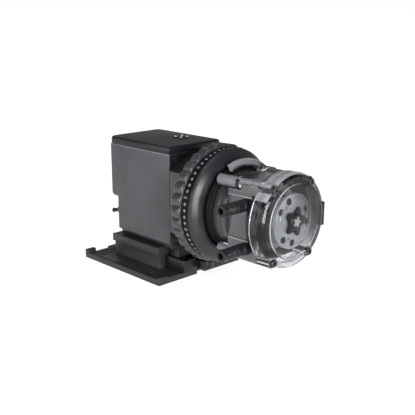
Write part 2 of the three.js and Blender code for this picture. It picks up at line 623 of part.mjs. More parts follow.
function headCover() {
  const { r, rearY, frontY, ridgeR, ridgeY } = COVER;
  const inner = r - 3;
  const bore = BUSHING_R - 0.7;
  const shell = turned([
    [inner, rearY], [r, rearY], [r, -199], [r - 1.4, -202.6], [r - 4, -204.6], [r - 7, frontY],
    [ridgeR + 1.2, frontY], [ridgeR + 0.6, ridgeY], [ridgeR - 0.6, ridgeY], [ridgeR - 1.2, frontY],
    [bore, frontY], [bore, frontY + 3], [r - 7, frontY + 3], [inner, frontY + 6],
  ], 36);
  const lugs = corners.map(({ x, z }) => rod(COLUMN.r, rearY, -202.6, 12, x, z));
  const tab = block(...COVER_TAB.x, ...COVER_TAB.y, ...COVER_TAB.z);
  const bores = corners.map(({ x, z }) => rod(COLUMN.boreR, rearY + 1, -204, 8, x, z));
  const seats = corners.map(({ x, z }) => rod(BOLT.seatR, -202.6, -207, 12, x, z));
  return cut(join(shell, ...lugs, tab), ...bores, ...seats);
}

function coverBushing() {
  const bore = SHAFT_R + GAP;
  return turned([
    [bore, -201.9], [8, -201.9], [8, -206.4], [6.4, -208], [0, -208], [0, -206.2], [bore, -206.2],
  ], 24);
}

function headBolt({ x, z, rearY }) {
  const { shankR, depth, headR, underHeadY } = BOLT;
  return turned([
    [0, rearY - depth], [shankR, rearY - depth], [shankR, underHeadY], [headR, underHeadY], [headR, underHeadY - 2.4],
    [headR - 0.9, underHeadY - 3.2], [0, underHeadY - 3.2],
  ], 10, x, z);
}

// Place of roller i round the carrier.
function rollerPlace(i) {
  const angle = ((i * 120 + 8) * Math.PI) / 180;
  return [ROLLER.orbit * Math.cos(angle), AXIS_Z + ROLLER.orbit * Math.sin(angle)];
}

function rollerCarrier() {
  const plate = ring(CARRIER.r, SHAFT_R + GAP, ...CARRIER.rear, 32);
  const pins = [0, 1, 2].map((i) => rod(CARRIER.pinR, -160, -201, 8, ...rollerPlace(i)));
  return join(plate, ...pins);
}

function carrierFront() {
  const [backY, frontY] = CARRIER.front;
  const { r, wellR, rearY, floorY } = CARRIER_HUB;
  const bore = SHAFT_R + GAP;
  const plate = turned([
    [bore, rearY], [r, rearY], [r, backY], [CARRIER.r, backY], [CARRIER.r, frontY], [wellR, frontY],
    [wellR, floorY], [bore, floorY],
  ], 32);
  const pinHoles = [0, 1, 2].map((i) => rod(CARRIER.pinClearR, backY + 1, frontY - 1, 8, ...rollerPlace(i)));
  return cut(plate, ...pinHoles);
}

function hubNut() {
  const shape = circle(0, AXIS_Z, 7.2, 12);
  shape.holes.push(circle(0, AXIS_Z, SHAFT_R + GAP));
  return alongY(shape, -193.8, -198.4);
}

// ---- assembly ----

part("mounting_bracket", mountingBracket(), BRACKET_GREY);
part("slide_foot", slideFoot(), BLACK);
part("lock_tab", lockTab(), BLACK);
part("lock_pivot_pin", alongX(circle(LOCK.pivotY, LOCK.pivotZ, 1.8, 12), -16, 16), STEEL);

part("motor_housing", motorHousing(), CHARCOAL);
part("roof_cover", roofCover(), BLACK);
part("roof_plate", roofPlate(), BLACK);
part("switch_body", block(-35.7, -22.3, 15.5, 30.1, 53, 67), BLACK);
part("switch_bushing", switchBushing(), BLACK);
part("toggle_lever", toggleLever(), BLACK);
part("cord_gland", cordGland(), BLACK);

part("stator_core", statorCore(), STEEL);
part("stator_coil", statorCoil(), COPPER);
part("front_bearing_bridge", bearingBridge(-24, -29), STEEL);
part("rear_bearing_bridge", bearingBridge(12, 7.5), STEEL);
part("motor_stud_left", rod(STUD.r, STUD.rearY, STUD.frontY, 12, -STUD.x), STEEL);
part("motor_stud_right", rod(STUD.r, STUD.rearY, STUD.frontY, 12, STUD.x), STEEL);
part("rotor_core", ring(ROTOR.coreR, ROTOR.bore, 5, -21, 24), STEEL);
part("rotor_shaft", rod(ROTOR.shaftR, ROTOR.rearY, ROTOR.frontY, 16), STEEL);
part("cooling_fan", coolingFan(), NYLON);

part("gear_case", gearCase(), CHARCOAL);
part("gear_case_plate", gearCasePlate(), STEEL);
addGears();
part("output_spindle", rod(SHAFT_R, -75.6, -101, 20), STEEL);
part("spindle_bushing", ring(BUSHING_R, SHAFT_R + GAP, -82, -94, 16), BRONZE);
part("mounting_plate", ring(55, BUSHING_R + GAP, -88.3, -91.3, 32), BLACK);
part("dial_ring", dialRing(), BLACK);
part("variable_cam", variableCam(), NYLON);
part("outer_frame", outerFrame(), BLACK);
part("pin_holder", pinHolder(), NYLON);
part("index_plate", indexPlate(), NYLON);
part("head_drum", headDrum(), CHARCOAL);

part("tube_housing", tubeHousing(), SMOKE);
part("head_bushing", ring(BUSHING_R, SHAFT_R + GAP, -141, -152, 16), BRONZE);
part("pump_tube", pumpTube(), ELASTOMER);
addFitting("inlet", LOOP.topOffset);
addFitting("outlet", LOOP.lowOffset);
part("main_shaft", rod(SHAFT_R, -101.6, -205.9, 20), STEEL);
part("roller_carrier", rollerCarrier(), NYLON);
part("carrier_front", carrierFront(), NYLON);
part("hub_nut", hubNut(), BLACK);
for (let i = 0; i < 3; i++) {
  part(`roller_${i + 1}`, ring(ROLLER.r, 2.5, ROLLER.backY, ROLLER.frontY, 16, ...rollerPlace(i)), NYLON);
}
part("head_cover", headCover(), CLEAR);
part("cover_bushing", coverBushing(), BLACK);
corners.forEach((corner, i) => part(`head_bolt_${i + 1}`, headBolt(corner), STEEL));

export default group;
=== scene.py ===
"""Looks of a single-head peristaltic metering pump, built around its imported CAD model.

Metres, +Z up. The pump head faces -Y. The origin is the centre of the bracket's underside.
Shapes are drawn in millimetres and scaled once, when a piece is made.
"""

import json
import math

import bmesh
import bpy
from mathutils import Matrix, Vector


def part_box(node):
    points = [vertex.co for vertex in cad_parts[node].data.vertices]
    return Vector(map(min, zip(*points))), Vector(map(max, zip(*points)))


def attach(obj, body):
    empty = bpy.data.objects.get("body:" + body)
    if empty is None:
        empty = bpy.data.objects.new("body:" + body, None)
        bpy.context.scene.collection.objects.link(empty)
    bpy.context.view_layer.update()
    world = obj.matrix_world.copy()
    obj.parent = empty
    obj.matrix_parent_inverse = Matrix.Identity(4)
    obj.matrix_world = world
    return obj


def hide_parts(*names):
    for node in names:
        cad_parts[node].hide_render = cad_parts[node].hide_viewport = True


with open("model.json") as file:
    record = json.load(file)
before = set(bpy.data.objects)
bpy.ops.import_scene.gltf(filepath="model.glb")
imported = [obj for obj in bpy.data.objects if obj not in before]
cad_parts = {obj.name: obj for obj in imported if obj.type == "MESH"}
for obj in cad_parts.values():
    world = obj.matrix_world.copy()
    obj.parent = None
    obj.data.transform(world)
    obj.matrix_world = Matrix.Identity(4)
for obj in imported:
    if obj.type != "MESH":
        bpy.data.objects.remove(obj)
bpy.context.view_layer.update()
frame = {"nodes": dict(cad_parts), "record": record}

MM = 0.001
AXIS_Z = 89.4  # height of the pump's main axis
COLUMN_X = -30.4  # outer columns of the pump head, on the port side
INNER_COLUMN_X = 23.9  # shorter columns on the other side
COLUMN_RISE = 36.5  # columns above and below the axis
COVER_R = 49.2
COVER_FACE = -205  # front of the cover's flat part
LOOP_Y = -174  # plane of the pump tube
PORT_OFFSETS = {"inlet": 18.2, "outlet": -26.6}  # height of each port from the axis
SWITCH_PLACE = (-29, 60)  # toggle switch in the rear wall, across and up
GLAND_PLACE = (22, 58)  # cord gland in the rear wall
SHAFT_CLEAR_R = 5.3  # bores that the main shaft passes through


# ---- camera ----

CAMERA_PLACE = (-0.53831, -0.63684, 0.28797)
CAMERA_AZIMUTH = -44.045
CAMERA_ELEVATION = 15.043
CAMERA_LENS = 62.41


def add_camera():
    azimuth = math.radians(CAMERA_AZIMUTH)
    elevation = math.radians(CAMERA_ELEVATION)
    level = math.cos(elevation)
    back = Vector((math.sin(azimuth) * level, -math.cos(azimuth) * level, math.sin(elevation)))
    right = Vector((math.cos(azimuth), math.sin(azimuth), 0))
    up = back.cross(right)
    data = bpy.data.cameras.new("camera")
    data.lens = CAMERA_LENS
    data.sensor_width = 36
    data.clip_start = 0.01
    camera = bpy.data.objects.new("camera", data)
    turn = Matrix((right, up, back)).transposed().to_4x4()
    camera.matrix_world = Matrix.Translation(CAMERA_PLACE) @ turn
    bpy.context.scene.collection.objects.link(camera)
    bpy.context.scene.camera = camera


add_camera()


# ---- materials ----

CLEAR_IOR = 1.3  # lower than real, or the floor's reflection hides the disc behind the cover


class Surface:
    """A node material around one Principled shader."""

    def __init__(self, name):
        self.material = bpy.data.materials.new(name)
        self.material.use_nodes = True
        self.tree = self.material.node_tree
        self.shader = self.tree.nodes["Principled BSDF"]
        self.place = self.add("ShaderNodeTexCoord").outputs["Object"]

    def add(self, kind, **settings):
        node = self.tree.nodes.new(kind)
        for key, value in settings.items():
            setattr(node, key, value)
        return node

    def link(self, source, target):
        self.tree.links.new(source, target)

    def feed(self, socket, value):
        if isinstance(value, bpy.types.NodeSocket):
            self.link(value, socket)
        else:
            socket.default_value = value

    def noise(self, scale, detail=3.0, roughness=0.55, stretch=None):
        place = self.place
        if stretch:
            mapping = self.add("ShaderNodeMapping")
            self.link(place, mapping.inputs["Vector"])
            mapping.inputs["Scale"].default_value = stretch
            place = mapping.outputs["Vector"]
        node = self.add("ShaderNodeTexNoise")
        self.link(place, node.inputs["Vector"])
        node.inputs["Scale"].default_value = scale
        node.inputs["Detail"].default_value = detail
        node.inputs["Roughness"].default_value = roughness
        return node.outputs["Fac"]

    def spread(self, value, low, high, start=0.3, stop=0.7):
        node = self.add("ShaderNodeMapRange")
        self.link(value, node.inputs["Value"])
        for key, number in zip(("From Min", "From Max", "To Min", "To Max"), (start, stop, low, high)):
            node.inputs[key].default_value = number
        return node.outputs["Result"]

    def maths(self, operation, first, second=0.0):
        node = self.add("ShaderNodeMath", operation=operation)
        self.feed(node.inputs[0], first)
        self.feed(node.inputs[1], second)
        return node.outputs[0]

    def mix(self, factor, first, second):
        node = self.add("ShaderNodeMix", data_type="RGBA")
        self.feed(node.inputs["Factor"], factor)
        for socket, colour in zip((node.inputs[6], node.inputs[7]), (first, second)):
            if isinstance(colour, bpy.types.NodeSocket):
                self.link(colour, socket)
            else:
                socket.default_value = (*colour, 1)
        return node.outputs[2]

    def edges(self, radius):
        """1 on outer and inner corners, 0 on open faces."""
        bevel = self.add("ShaderNodeBevel", samples=4)
        bevel.inputs["Radius"].default_value = radius
        dot = self.add("ShaderNodeVectorMath", operation="DOT_PRODUCT")
        self.link(bevel.outputs["Normal"], dot.inputs[0])
        self.link(self.add("ShaderNodeNewGeometry").outputs["Normal"], dot.inputs[1])
        return self.spread(dot.outputs["Value"], 1, 0, 0.8, 0.995)

    def bump(self, height, depth, strength=1.0, under=None):
        node = self.add("ShaderNodeBump")
        self.link(height, node.inputs["Height"])
        node.inputs["Distance"].default_value = depth
        node.inputs["Strength"].default_value = strength
        if under is not None:
            self.link(under, node.inputs["Normal"])
        return node.outputs["Normal"]

    def set(self, **values):
        names = {"colour": "Base Color", "roughness": "Roughness", "normal": "Normal"}
        for key, value in values.items():
            socket = self.shader.inputs[names.get(key, key.replace("_", " "))]
            if key == "colour" and not isinstance(value, bpy.types.NodeSocket):
                value = (*value, 1)
            self.feed(socket, value)
        return self.material


def tint(colour, factor):
    return tuple(min(1, c * factor) for c in colour)


def moulded(name, colour, roughness, grain=900, depth=0.00006, blotch=0.12, wear_and_highlight=0.25, coat=0.0,
            spec=0.5):
    """Moulded plastic with a fine grain, faint flow marks, light specks, and corners made lighter, partly
    worn by rubbing and partly as a painted edge highlight.
    """
    s = Surface(name)
    fine = s.noise(grain, 4, 0.6)
    cloud = s.noise(38, 3, 0.6)
    flow = s.noise(16, 2, 0.5, stretch=(1, 1, 5))
    shade = s.mix(s.spread(cloud, 0, 1), tint(colour, 1 - blotch), tint(colour, 1 + blotch))
    speck = s.spread(s.noise(grain * 0.45, 2, 0.7), 0, 0.35, 0.55, 0.75)
    shade = s.mix(speck, shade, tint(colour, 1.45))
    # corners made lighter: partly worn by rubbing, partly a painted edge highlight
    rubbed_and_highlit = s.maths("MULTIPLY", s.edges(0.0007), s.spread(s.noise(140, 3, 0.7), 0.35, 1.0))
    shade = s.mix(s.maths("MULTIPLY", rubbed_and_highlit, wear_and_highlight), shade, tint(colour, 2.6))
    patchy = s.spread(flow, roughness - 0.05, roughness + 0.05)
    rough = s.maths("ADD", patchy, s.spread(fine, -0.04, 0.04))
    normal = s.bump(fine, depth, 0.6, under=s.bump(flow, 0.00025, 0.35))
    s.shader.inputs["Coat Weight"].default_value = coat
    s.shader.inputs["Coat Roughness"].default_value = 0.2
    s.shader.inputs["Specular IOR Level"].default_value = spec
    return s.set(colour=shade, roughness=rough, normal=normal)


def clear(name, colour, roughness, transmission=1.0, painted_shade_colour=None):
    """Clear moulded plastic with slight ripples and fine scratches.

    The optional second colour is painted shade: the colour shades into it towards the upper right of the
    pump.
    """
    s = Surface(name)
    waves = s.noise(130, 2, 0.5)
    scratches = s.noise(420, 2, 0.8, stretch=(1, 0.15, 0.35))
    rough = s.spread(scratches, roughness, roughness + 0.09, 0.55, 0.75)
    normal = s.bump(waves, 0.0008, 0.5, under=s.bump(scratches, 0.00002, 0.3))
    shade = s.mix(s.spread(waves, 0, 1), tint(colour, 0.95), tint(colour, 1.03))
    if painted_shade_colour:
        across = s.add("ShaderNodeVectorMath", operation="DOT_PRODUCT")
        s.link(s.place, across.inputs[0])
        across.inputs[1].default_value = (1, 0, 0.6)
        fade_start, fade_stop = 0.064, 0.088
        fade = s.spread(across.outputs["Value"], 0, 1, fade_start, fade_stop)
        shade = s.mix(fade, shade, painted_shade_colour)
    s.shader.inputs["Transmission Weight"].default_value = transmission
    s.shader.inputs["IOR"].default_value = CLEAR_IOR
    return s.set(colour=shade, roughness=rough, normal=normal)


def metal(name, colour, roughness, stretch=(1, 1, 12)):
    """Turned or drawn metal: fine machining lines and slight staining."""
    s = Surface(name)
    lines = s.noise(300, 3, 0.6, stretch=stretch)
    stain = s.noise(60, 3, 0.6)
    shade = s.mix(s.spread(stain, 0, 1), tint(colour, 0.82), tint(colour, 1.08))
    drawn = s.spread(lines, roughness - 0.07, roughness + 0.07)
    rough = s.maths("ADD", drawn, s.spread(stain, -0.05, 0.08))
    s.shader.inputs["Metallic"].default_value = 1.0
    return s.set(colour=shade, roughness=rough, normal=s.bump(lines, 0.00003, 0.5))


def elastomer(name, colour):
    """Milky, slightly translucent tube."""
    s = Surface(name)
    haze = s.noise(130, 3, 0.6)
    shade = s.mix(s.spread(haze, 0, 1), tint(colour, 0.86), tint(colour, 1.05))
    s.shader.inputs["Subsurface Weight"].default_value = 0.35
    s.shader.inputs["Subsurface Radius"].default_value = (0.004, 0.003, 0.002)
    s.shader.inputs["Subsurface Scale"].default_value = 1.0
    rough = s.spread(haze, 0.28, 0.42)
    return s.set(colour=shade, roughness=rough, normal=s.bump(s.noise(700, 2), 0.00004, 0.5))


def winding(name, colour):
    """Enamelled wire laid in rows along X."""
    s = Surface(name)
    wave = s.add("ShaderNodeTexWave", bands_direction="X", wave_profile="SIN")
    s.link(s.place, wave.inputs["Vector"])
    wave.inputs["Scale"].default_value = 450
    wave.inputs["Distortion"].default_value = 0.6
    rows = wave.outputs["Fac"]
    s.shader.inputs["Metallic"].default_value = 0.7
    shade = s.mix(rows, tint(colour, 0.45), colour)
    return s.set(colour=shade, roughness=s.spread(rows, 0.5, 0.28), normal=s.bump(rows, 0.0004))


LOOKS = {
    "housing_plastic": moulded("housing", (0.054, 0.055, 0.060), 0.5, wear_and_highlight=0.3, spec=0.3),
    "roof_plastic": moulded("roof", (0.024, 0.024, 0.027), 0.46, grain=700, depth=0.00012, spec=0.35),
    "bracket_plastic": moulded("bracket", (0.016, 0.017, 0.018), 0.42, wear_and_highlight=0.9, spec=0.3),
    "black_plastic": moulded("black", (0.007, 0.007, 0.009), 0.34, grain=1200, wear_and_highlight=0.6, spec=0.3),
    "dial_plastic": moulded("dial", (0.010, 0.010, 0.013), 0.36, grain=1500, depth=0.00003, wear_and_highlight=0.5,
                            spec=0.45),
    "drum_plastic": moulded("drum", (0.032, 0.033, 0.036), 0.26),
    "smoke_plastic": moulded("smoke", (0.060, 0.061, 0.066), 0.16, grain=1500, depth=0.00002, wear_and_highlight=0.5,
                             coat=0.3),
    "clear_plastic": clear("clear", (0.62, 0.63, 0.65), 0.02),
    "tube_rubber": elastomer("tube", (0.62, 0.61, 0.57)),
    "nylon": moulded("nylon", (0.42, 0.42, 0.44), 0.35, blotch=0.06, wear_and_highlight=0.0),
    "steel": metal("steel", (0.62, 0.63, 0.65), 0.28),
    "copper_coil": winding("winding", (0.55, 0.22, 0.09)),
    "bronze": metal("bronze", (0.55, 0.40, 0.20), 0.4),
}

# Finishes of single faces and small pieces
# Grey of the dial's printed marks and the hub's star; on the lip's front face it is painted shade.
MARK_AND_SHADE_GREY = moulded("mark", (0.165, 0.165, 0.18), 0.45, blotch=0.05, wear_and_highlight=0.0)
# Light grey painted on edges, the lip and the ribs of the head as painted highlights.
HIGHLIGHT_GREY = moulded("rib", (0.20, 0.205, 0.22), 0.14, blotch=0.05, wear_and_highlight=0.3, coat=0.5)
GRIP_GREY = moulded("grip", (0.030, 0.030, 0.034), 0.24, grain=1300, depth=0.00004, wear_and_highlight=0.8)
CARRIER_GREY = moulded("carrier", (0.60, 0.60, 0.62), 0.3, blotch=0.1, wear_and_highlight=0.0)
FRAME_BLACK = moulded("frame", (0.004, 0.004, 0.005), 0.4, grain=1500, depth=0.00003, spec=0.1)
COLUMN_BRIGHT = metal("column", (0.72, 0.73, 0.75), 0.12, stretch=(1, 14, 1))
DARK_STEEL = metal("dark_steel", (0.07, 0.07, 0.075), 0.35)
# Dark tints of clear plastic: on the sides of the cover's ring they are painted shade; the smoked one also
# tints the hub's boss.
SMOKED_AND_SHADED_CLEAR = clear("smoked_and_shaded_clear", (0.11, 0.11, 0.12), 0.16)
# The cover's colour darkens towards its upper right: painted shade.
COVER_CLEAR = clear("cover_clear", (0.62, 0.63, 0.65), 0.02, painted_shade_colour=(0.19, 0.19, 0.20))
DARK_CLEAR = clear("dark_clear", (0.055, 0.055, 0.060), 0.08)
# Paler, less clear finish for the cover's upward faces: painted light.
LIGHTENED_TOP_CLEAR = clear("lightened_top_clear", (0.55, 0.56, 0.58), 0.12, transmission=0.62)


# ---- mesh helpers, in millimetres ----

SHARP_ANGLE = 30  # degrees; edges sharper than this are rounded
FLAT_ANGLE = 0.5  # degrees; faces closer than this become one
ON_AXIS = 1e-6  # a smaller radius counts as a point on the axis
WELD = 0.002  # corners closer than this become one
SPECK = 0.0005  # shorter edges are removed before a piece is made


def rounded(points, radius, steps=3, closed=True):
    """The outline with each corner rounded; an end point of an open outline stays."""
    out = []
    count = len(points)
    for i, here in enumerate(points):
        if not closed and i in (0, count - 1):
            out.append(here)
            continue
        here = Vector(here)
        before, after = Vector(points[i - 1]), Vector(points[(i + 1) % count])
        to_before, to_after = before - here, after - here
        reach = min(radius, 0.45 * to_before.length, 0.45 * to_after.length)
        start = here + to_before.normalized() * reach
        stop = here + to_after.normalized() * reach
        for step in range(steps + 1):
            t = step / steps
            out.append(tuple(start * (1 - t) ** 2 + here * (2 * t * (1 - t)) + stop * t * t))
    return out


def turned(profile, steps=128, centre=(0, AXIS_Z), radius_at=None, along="y"):
    """Surface of revolution from (radius, y) points.

    They form a loop, or an open line that starts and ends on the axis. radius_at(radius, y, angle) may
    change the radius around the turn. With along="x" the axis lies along X, and centre is (y, z).
    """
    bm = bmesh.new()
    open_line = profile[0][0] < ON_AXIS
    rings = []
    for radius, y in profile:
        ring = []
        if radius < ON_AXIS:
            ring = [(0, y, 0)]
        else:
            for i in range(steps):
                angle = 2 * math.pi * i / steps
                r = radius_at(radius, y, angle) if radius_at else radius
                ring.append((r * math.cos(angle), y, r * math.sin(angle)))
        rings.append([bm.verts.new(place_turned(p, centre, along)) for p in ring])
    pairs = list(zip(rings, rings[1:])) + ([] if open_line else [(rings[-1], rings[0])])
    for first, second in pairs:
        for i in range(steps):
            j = (i + 1) % steps
            if len(first) == 1 and len(second) == 1:
                break
            if len(first) == 1:
                bm.faces.new((first[0], second[i], second[j]))
            elif len(second) == 1:
                bm.faces.new((first[i], second[0], first[j]))
            else:
                bm.faces.new((first[i], second[i], second[j], first[j]))
    bmesh.ops.recalc_face_normals(bm, faces=bm.faces)
    return bm


def place_turned(point, centre, along):
    x, y, z = point
    if along == "x":
        return (y, centre[0] + x, centre[1] + z)
    return (centre[0] + x, y, centre[1] + z)


def prism(outline, start, stop, along="y", bevel=0.0):
    """Outline pushed from start to stop: (x, z) points along Y, (y, z) along X, or (x, y) along Z."""
    places = {
        "x": lambda a, b, c: (c, a, b),
        "y": lambda a, b, c: (a, c, b),
        "z": lambda a, b, c: (a, b, c),
    }
    bm = bmesh.new()
    low = [bm.verts.new(places[along](a, b, start)) for a, b in outline]
    high = [bm.verts.new(places[along](a, b, stop)) for a, b in outline]
    bm.faces.new(low)
    bm.faces.new(reversed(high))
    for i in range(len(outline)):
        j = (i + 1) % len(outline)
        bm.faces.new((low[i], low[j], high[j], high[i]))
    bmesh.ops.recalc_face_normals(bm, faces=bm.faces)
    if bevel:
        soften(bm, bevel)
    return bm


def slab(x0, x1, y0, y1, z0, z1, bevel):
    return prism([(x0, z0), (x1, z0), (x1, z1), (x0, z1)], y0, y1, "y", bevel)


def circle(x, y, radius, sides=24, phase=0.0):
    turns = [phase + 2 * math.pi / sides * i for i in range(sides)]
    return [(x + radius * math.cos(turn), y + radius * math.sin(turn)) for turn in turns]


def soften(bm, width, clamp=True):
    """Rounds every sharp edge."""
    sharp = [e for e in bm.edges if e.is_manifold and math.degrees(e.calc_face_angle(0)) > SHARP_ANGLE]
    if sharp:
        bmesh.ops.bevel(bm, geom=sharp, offset=width, offset_type="OFFSET", segments=2, profile=0.5,
                        affect="EDGES", clamp_overlap=clamp)


def joined(*parts):
    """One bmesh from several closed ones."""
    whole = bmesh.new()
    for bm in parts:
        scratch = bpy.data.meshes.new("scratch")
        bm.to_mesh(scratch)
        bm.free()
        whole.from_mesh(scratch)
        bpy.data.meshes.remove(scratch)
    return whole


def piece(name, bm, body, slot, *nodes, material=None, smooth=35):
    """Makes an object from a bmesh in millimetres, on a body, in place of the CAD nodes named."""
    bmesh.ops.dissolve_degenerate(bm, edges=bm.edges, dist=SPECK)
    bmesh.ops.scale(bm, vec=(MM, MM, MM), verts=bm.verts)
    mesh = bpy.data.meshes.new(name)
    bm.to_mesh(mesh)
    bm.free()
    mesh.shade_smooth()
    mesh.set_sharp_from_angle(angle=math.radians(smooth))
    obj = bpy.data.objects.new(name, mesh)
    bpy.context.scene.collection.objects.link(obj)
    mesh.materials.append(material or LOOKS[slot])
    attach(obj, body)
    if nodes:
        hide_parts(*nodes)
    return obj


def cad_mesh(node):
    """A CAD node's shape as a bmesh in millimetres, with its flat faces made whole."""
    bm = bmesh.new()
    bm.from_mesh(frame["nodes"][node].data)
    bmesh.ops.scale(bm, vec=(1 / MM, 1 / MM, 1 / MM), verts=bm.verts)
    bmesh.ops.remove_doubles(bm, verts=bm.verts, dist=WELD)
    bmesh.ops.dissolve_degenerate(bm, edges=bm.edges, dist=0.01)
    bmesh.ops.dissolve_limit(bm, angle_limit=math.radians(FLAT_ANGLE), verts=bm.verts, edges=bm.edges)
    return bm


BODIES = frame["record"]["behaviour"]["bodies"]
BODY_OF = {node: body for body, nodes in BODIES.items() for node in nodes}
SLOT_OF = {row["node"]: row["material_slot"] for row in frame["record"]["subparts"]}


def refine(node, width, slot=None, material=None, smooth=35):
    """The CAD node with its corners rounded off, as a piece that stands for it."""
    bm = cad_mesh(node)
    soften(bm, width, clamp=False)
    return piece(node + "_look", bm, BODY_OF[node], slot or SLOT_OF[node], node, material=material,
                 smooth=smooth)


def paint(obj, *rules):
    """Gives faces another finish. Each rule is (material, test); test gets a face's centre and normal."""
    for material, test in rules:
        obj.data.materials.append(material)
        index = len(obj.data.materials) - 1
        for face in obj.data.polygons:
            if test(face.center / MM, face.normal):
                face.material_index = index


def solid_from(bm):
    """A scratch object of a bmesh in millimetres, for boolean work."""
    mesh = bpy.data.meshes.new("scratch")
    bm.to_mesh(mesh)
    bm.free()
    obj = bpy.data.objects.new("scratch", mesh)
    bpy.context.scene.collection.objects.link(obj)
    return obj


def combined(base, *steps):
    """base with others added or cut away: each step is ("UNION" or "DIFFERENCE", bmesh)."""
    target = solid_from(base)
    tools = []
    for operation, bm in steps:
        tool = solid_from(bm)
        tools.append(tool)
        modifier = target.modifiers.new("step", "BOOLEAN")
        modifier.operation = operation
        modifier.solver = "EXACT"
        modifier.object = tool
    bpy.context.view_layer.update()
    done = target.evaluated_get(bpy.context.evaluated_depsgraph_get())
    bm = bmesh.new()
    bm.from_mesh(done.to_mesh())
    done.to_mesh_clear()
    for obj in (target, *tools):
        mesh = obj.data
        bpy.data.objects.remove(obj)
        bpy.data.meshes.remove(mesh)
    bmesh.ops.remove_doubles(bm, verts=bm.verts, dist=WELD)
    return bm


# ---- bracket and motor housing ----


def faces_front(centre, normal):
    return normal.y < -0.9


def faces_side(centre, normal):
    return abs(normal.x) > 0.9


def on_painted_glint_edge(centre, normal):
    """Upper edge of the foot's front left corner, painted bright as a painted glint."""
    slanted = max(abs(normal.x), abs(normal.y), abs(normal.z)) < 0.97
    return slanted and centre.x < -28.4 and centre.y < -54 and 20.5 < centre.z < 22.5


def on_top_edge(centre, normal):
    """Left upper edge of the motor housing, painted lighter as a painted highlight where it catches the
    light.
    """
    return 0.2 < normal.z < 0.95 and centre.z > 140.5 and centre.x < -37


def add_bracket_and_box():
    refine("mounting_bracket", 0.25)
    foot = refine("slide_foot", 0.4)
    paint(foot, (HIGHLIGHT_GREY, on_painted_glint_edge))
    refine("lock_tab", 0.4)
    housing = refine("motor_housing", 0.7)
    # The housing's front face is painted black as painted shade.
    paint(housing, (LOOKS["black_plastic"], faces_front), (HIGHLIGHT_GREY, on_top_edge))
    roof = refine("roof_cover", 0.3)
    paint(roof, (LOOKS["black_plastic"], lambda centre, normal: abs(normal.z) < 0.85))
    # The gear case sits in the shaded recess behind the dial: painted black as painted shade, with its
    # flush side faces in the housing's own grey.
    case = refine("gear_case", 0.5, slot="black_plastic")
    paint(case, (LOOKS["housing_plastic"], faces_side))
    add_roof_plate()
    add_switch()
    add_gland()


def pan_screw(x, y, seat, head_r, height):
    """Pan-head screw with a cross recess, its head standing on the seat height."""
    head = []
    for i in range(6):
        t = math.pi / 2 * i / 5
        head.append((head_r * math.cos(t) ** 0.6 if i < 5 else 0, seat + height * math.sin(t) ** 0.8))
    profile = [(0, seat - 0.8), (head_r * 0.5, seat - 0.8), (head_r * 0.5, seat), *head]
    bm = turned(profile, 24, (0, 0))
    for vert in bm.verts:
        vert.co = Vector((x + vert.co.x, y + vert.co.z, vert.co.y))
    bmesh.ops.recalc_face_normals(bm, faces=bm.faces)
    arm, width = head_r * 0.62, head_r * 0.17
    steps = []
    for a, b in ((arm, width), (width, arm)):
        slot = prism([(x - a, y - b), (x + a, y - b), (x + a, y + b), (x - a, y + b)],
                     seat + height * 0.45, seat + height + 1, "z")
        steps.append(("DIFFERENCE", slot))
    return combined(bm, *steps)


def add_roof_plate():
    """Small cover plate on the roof, held by four screws."""
    low, high = (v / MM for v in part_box("roof_plate"))
    x, y = (low.x + high.x) / 2, (low.y + high.y) / 2
    half, corner_r = 6.8, 1.2
    screw_at, screw_r, screw_height = 4.8, 1.6, 0.9
    top = high.z - screw_height
    corners = [(x + sx * half, y + sy * half) for sx, sy in ((-1, -1), (1, -1), (1, 1), (-1, 1))]
    plate = prism(rounded(corners, corner_r), low.z, top, "z", 0.25)
    piece("roof_plate_look", plate, "pump", SLOT_OF["roof_plate"], "roof_plate",
          material=LOOKS["roof_plastic"])
    places = [(x + sx * screw_at, y + sy * screw_at) for sx in (-1, 1) for sy in (-1, 1)]
    screws = [pan_screw(*place, top, screw_r, screw_height) for place in places]
    piece("roof_plate_screws", joined(*screws), "pump", "steel", smooth=40)


def thread(radius, depth, start, stop, pitch):
    """Profile points of a screw thread drawn as rings."""
    points = []
    y = start
    while y + pitch < stop:
        points += [(radius, y), (radius, y + pitch * 0.3), (radius - depth, y + pitch * 0.65)]
        y += pitch
    return points + [(radius, stop)]


def add_switch():
    """Threaded bushing with its washer and hexagon nut, and the lever."""
    x, z = SWITCH_PLACE
    inner = [(3, 30.4), (4, 30.4)]
    barrel = inner + thread(4, 0.35, 36, 42.6, 0.8) + [(3.7, 43), (3, 43)]
    hexagon = prism(circle(x, z, 6.4, 6, 0.2), 37.1, 39.4, bevel=0.3)
    washer = turned([(3.6, 36.5), (6.2, 36.5), (6.2, 37), (3.6, 37)], 48, (x, z))
    bore = turned([(0, 36), (3.7, 36), (3.7, 40), (0, 40)], 32, (x, z))
    nut = combined(hexagon, ("DIFFERENCE", bore))
    bushing = joined(turned(barrel, 48, (x, z)), washer, nut)
    piece("switch_bushing_look", bushing, "pump", SLOT_OF["switch_bushing"], "switch_bushing",
          material=DARK_STEEL, smooth=30)
    refine("toggle_lever", 0.2, material=LOOKS["black_plastic"], smooth=60)


def add_gland():
    """Cord gland: hexagon foot and a ribbed cap, open down the middle."""
    x, z = GLAND_PLACE
    foot = prism(circle(x, z, 8, 6, 0.4), 36.6, 39.6, bevel=0.4)
    foot = combined(foot, ("DIFFERENCE", turned([(0, 35), (4.8, 35), (4.8, 41), (0, 41)], 32, (x, z))))
    cap = [(3.3, 30.5), (5, 30.5), (5, 39.8), (6.8, 40.2), (6.8, 46.6), (5.4, 49.5), (3.3, 49.5)]
    ribs = turned(rounded(cap, 0.5, 3), 96, (x, z), fluted(16, 0.45, 6.4))
    piece("cord_gland_look", joined(ribs, foot), "pump", SLOT_OF["cord_gland"], "cord_gland", smooth=45)


